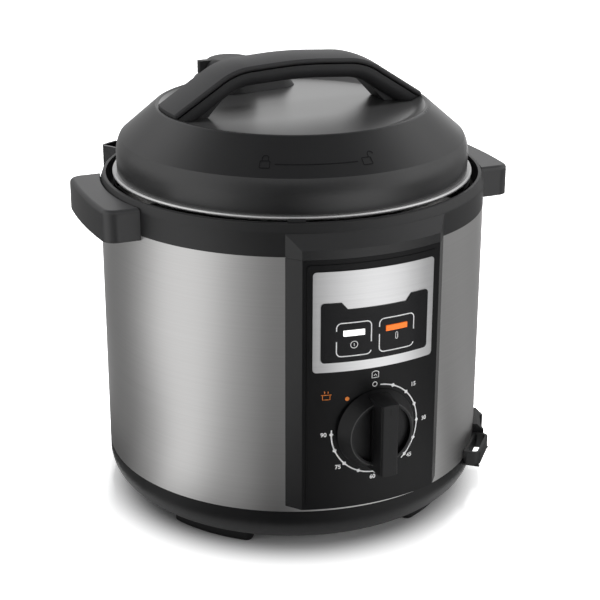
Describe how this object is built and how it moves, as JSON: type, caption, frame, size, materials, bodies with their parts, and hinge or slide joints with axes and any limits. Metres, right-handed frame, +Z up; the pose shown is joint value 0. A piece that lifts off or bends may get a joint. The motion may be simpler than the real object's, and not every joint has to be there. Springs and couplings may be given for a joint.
{
  "type": "electric pressure cooker",
  "caption": "Round electric pressure cooker with a brushed steel wall, black base, collar and bayonet lid, timer knob, lamps, removable pot parts, arch lid handle and side handles.",
  "frame": {"origin": "centre of the round body at the level it stands on", "axes": "+Z up, -Y out of the front panel, +X to the right of someone facing the panel"},
  "size_m": [0.2986, 0.3046, 0.3098],
  "materials": {
    "black_plastic": "satin moulded plastic",
    "brushed_steel": "fine brushing round the body",
    "plain_steel": "plain turned steel",
    "polished_steel": "polished",
    "cast_aluminium": "cast, machined on top",
    "coated_pot": "dark non-stick coating",
    "silver_plate": "fine brushed silver",
    "window_black": "gloss",
    "lens_white": "milky lens",
    "lens_orange": "milky orange lens",
    "board_green": "circuit board",
    "inner_plastic": "plain moulded plastic",
    "pin_brass": "plain",
    "smoke_plastic": "gloss moulded plastic",
    "silicone": "soft silicone"
  },
  "bodies": {
    "base": {"base": "black_plastic", "foot_1": "black_plastic", "foot_2": "black_plastic", "foot_3": "black_plastic", "foot_4": "black_plastic", "collar": "black_plastic", "side_handle_left": "black_plastic", "side_handle_right": "black_plastic", "console": "black_plastic", "front_sheet": "black_plastic", "inlet_housing": "black_plastic", "ladle_holder": "black_plastic", "cup_bracket": "black_plastic", "shell": "brushed_steel", "outer_pot": "brushed_steel", "base_screws": "plain_steel", "sensor_spring": "plain_steel", "heating_plate": "cast_aluminium", "inner_pot": "coated_pot", "face_plate": "silver_plate", "lamp_window": "window_black", "lamp_lens_white": "lens_white", "lamp_lens_orange": "lens_orange", "lamp_board": "board_green", "timer_body": "inner_plastic", "pressure_switch": "inner_plastic", "inlet_pins": "pin_brass"},
    "seal": {"sealing_ring": "silicone"},
    "lid": {"lid_cover": "black_plastic", "valve_island": "black_plastic", "lid_trim_ring": "polished_steel", "lid_plate": "brushed_steel", "ring_rack": "brushed_steel", "lid_screws": "plain_steel", "handle_lower": "black_plastic", "handle_upper": "black_plastic", "handle_screws": "plain_steel", "vent_pipe": "plain_steel", "filter_cap": "brushed_steel"},
    "valve": {"pressure_valve": "black_plastic"},
    "float": {"float_pin": "plain_steel", "float_gasket": "silicone"},
    "knob": {"timer_shaft": "plain_steel", "timer_knob": "black_plastic"},
    "sensor": {"sensor_cap": "cast_aluminium"},
    "cup": {"condensation_cup": "smoke_plastic"}
  },
  "joints": [
    {"name": "lid_lift", "type": "slide", "parent": "base", "child": "seal", "axis": [0, 0, 1], "range_m": [0, 0.15]},
    {"name": "lid_turn", "type": "hinge", "parent": "seal", "child": "lid", "pos_m": [0, 0, 0.23], "axis": [0, 0, 1], "range_deg": [0, 34]},
    {"name": "valve_turn", "type": "hinge", "parent": "lid", "child": "valve", "pos_m": [-0.0204, 0.066, 0.2853], "axis": [0, 0, 1], "range_deg": [-60, 0]},
    {"name": "float_rise", "type": "slide", "parent": "lid", "child": "float", "axis": [0, 0, 1], "range_m": [0, 0.004]},
    {"name": "timer_turn", "type": "hinge", "parent": "base", "child": "knob", "pos_m": [0, -0.15, 0.0932], "axis": [0, 1, 0], "range_deg": [-45, 270]},
    {"name": "sensor_press", "type": "slide", "parent": "base", "child": "sensor", "axis": [0, 0, -1], "range_m": [0, 0.003], "stiffness_N_per_m": 300, "springref_m": -0.004, "deforming": ["sensor_spring"]},
    {"name": "cup_lift", "type": "slide", "parent": "base", "child": "cup", "axis": [0, 0, 1], "range_m": [0, 0.05]}
  ]
}
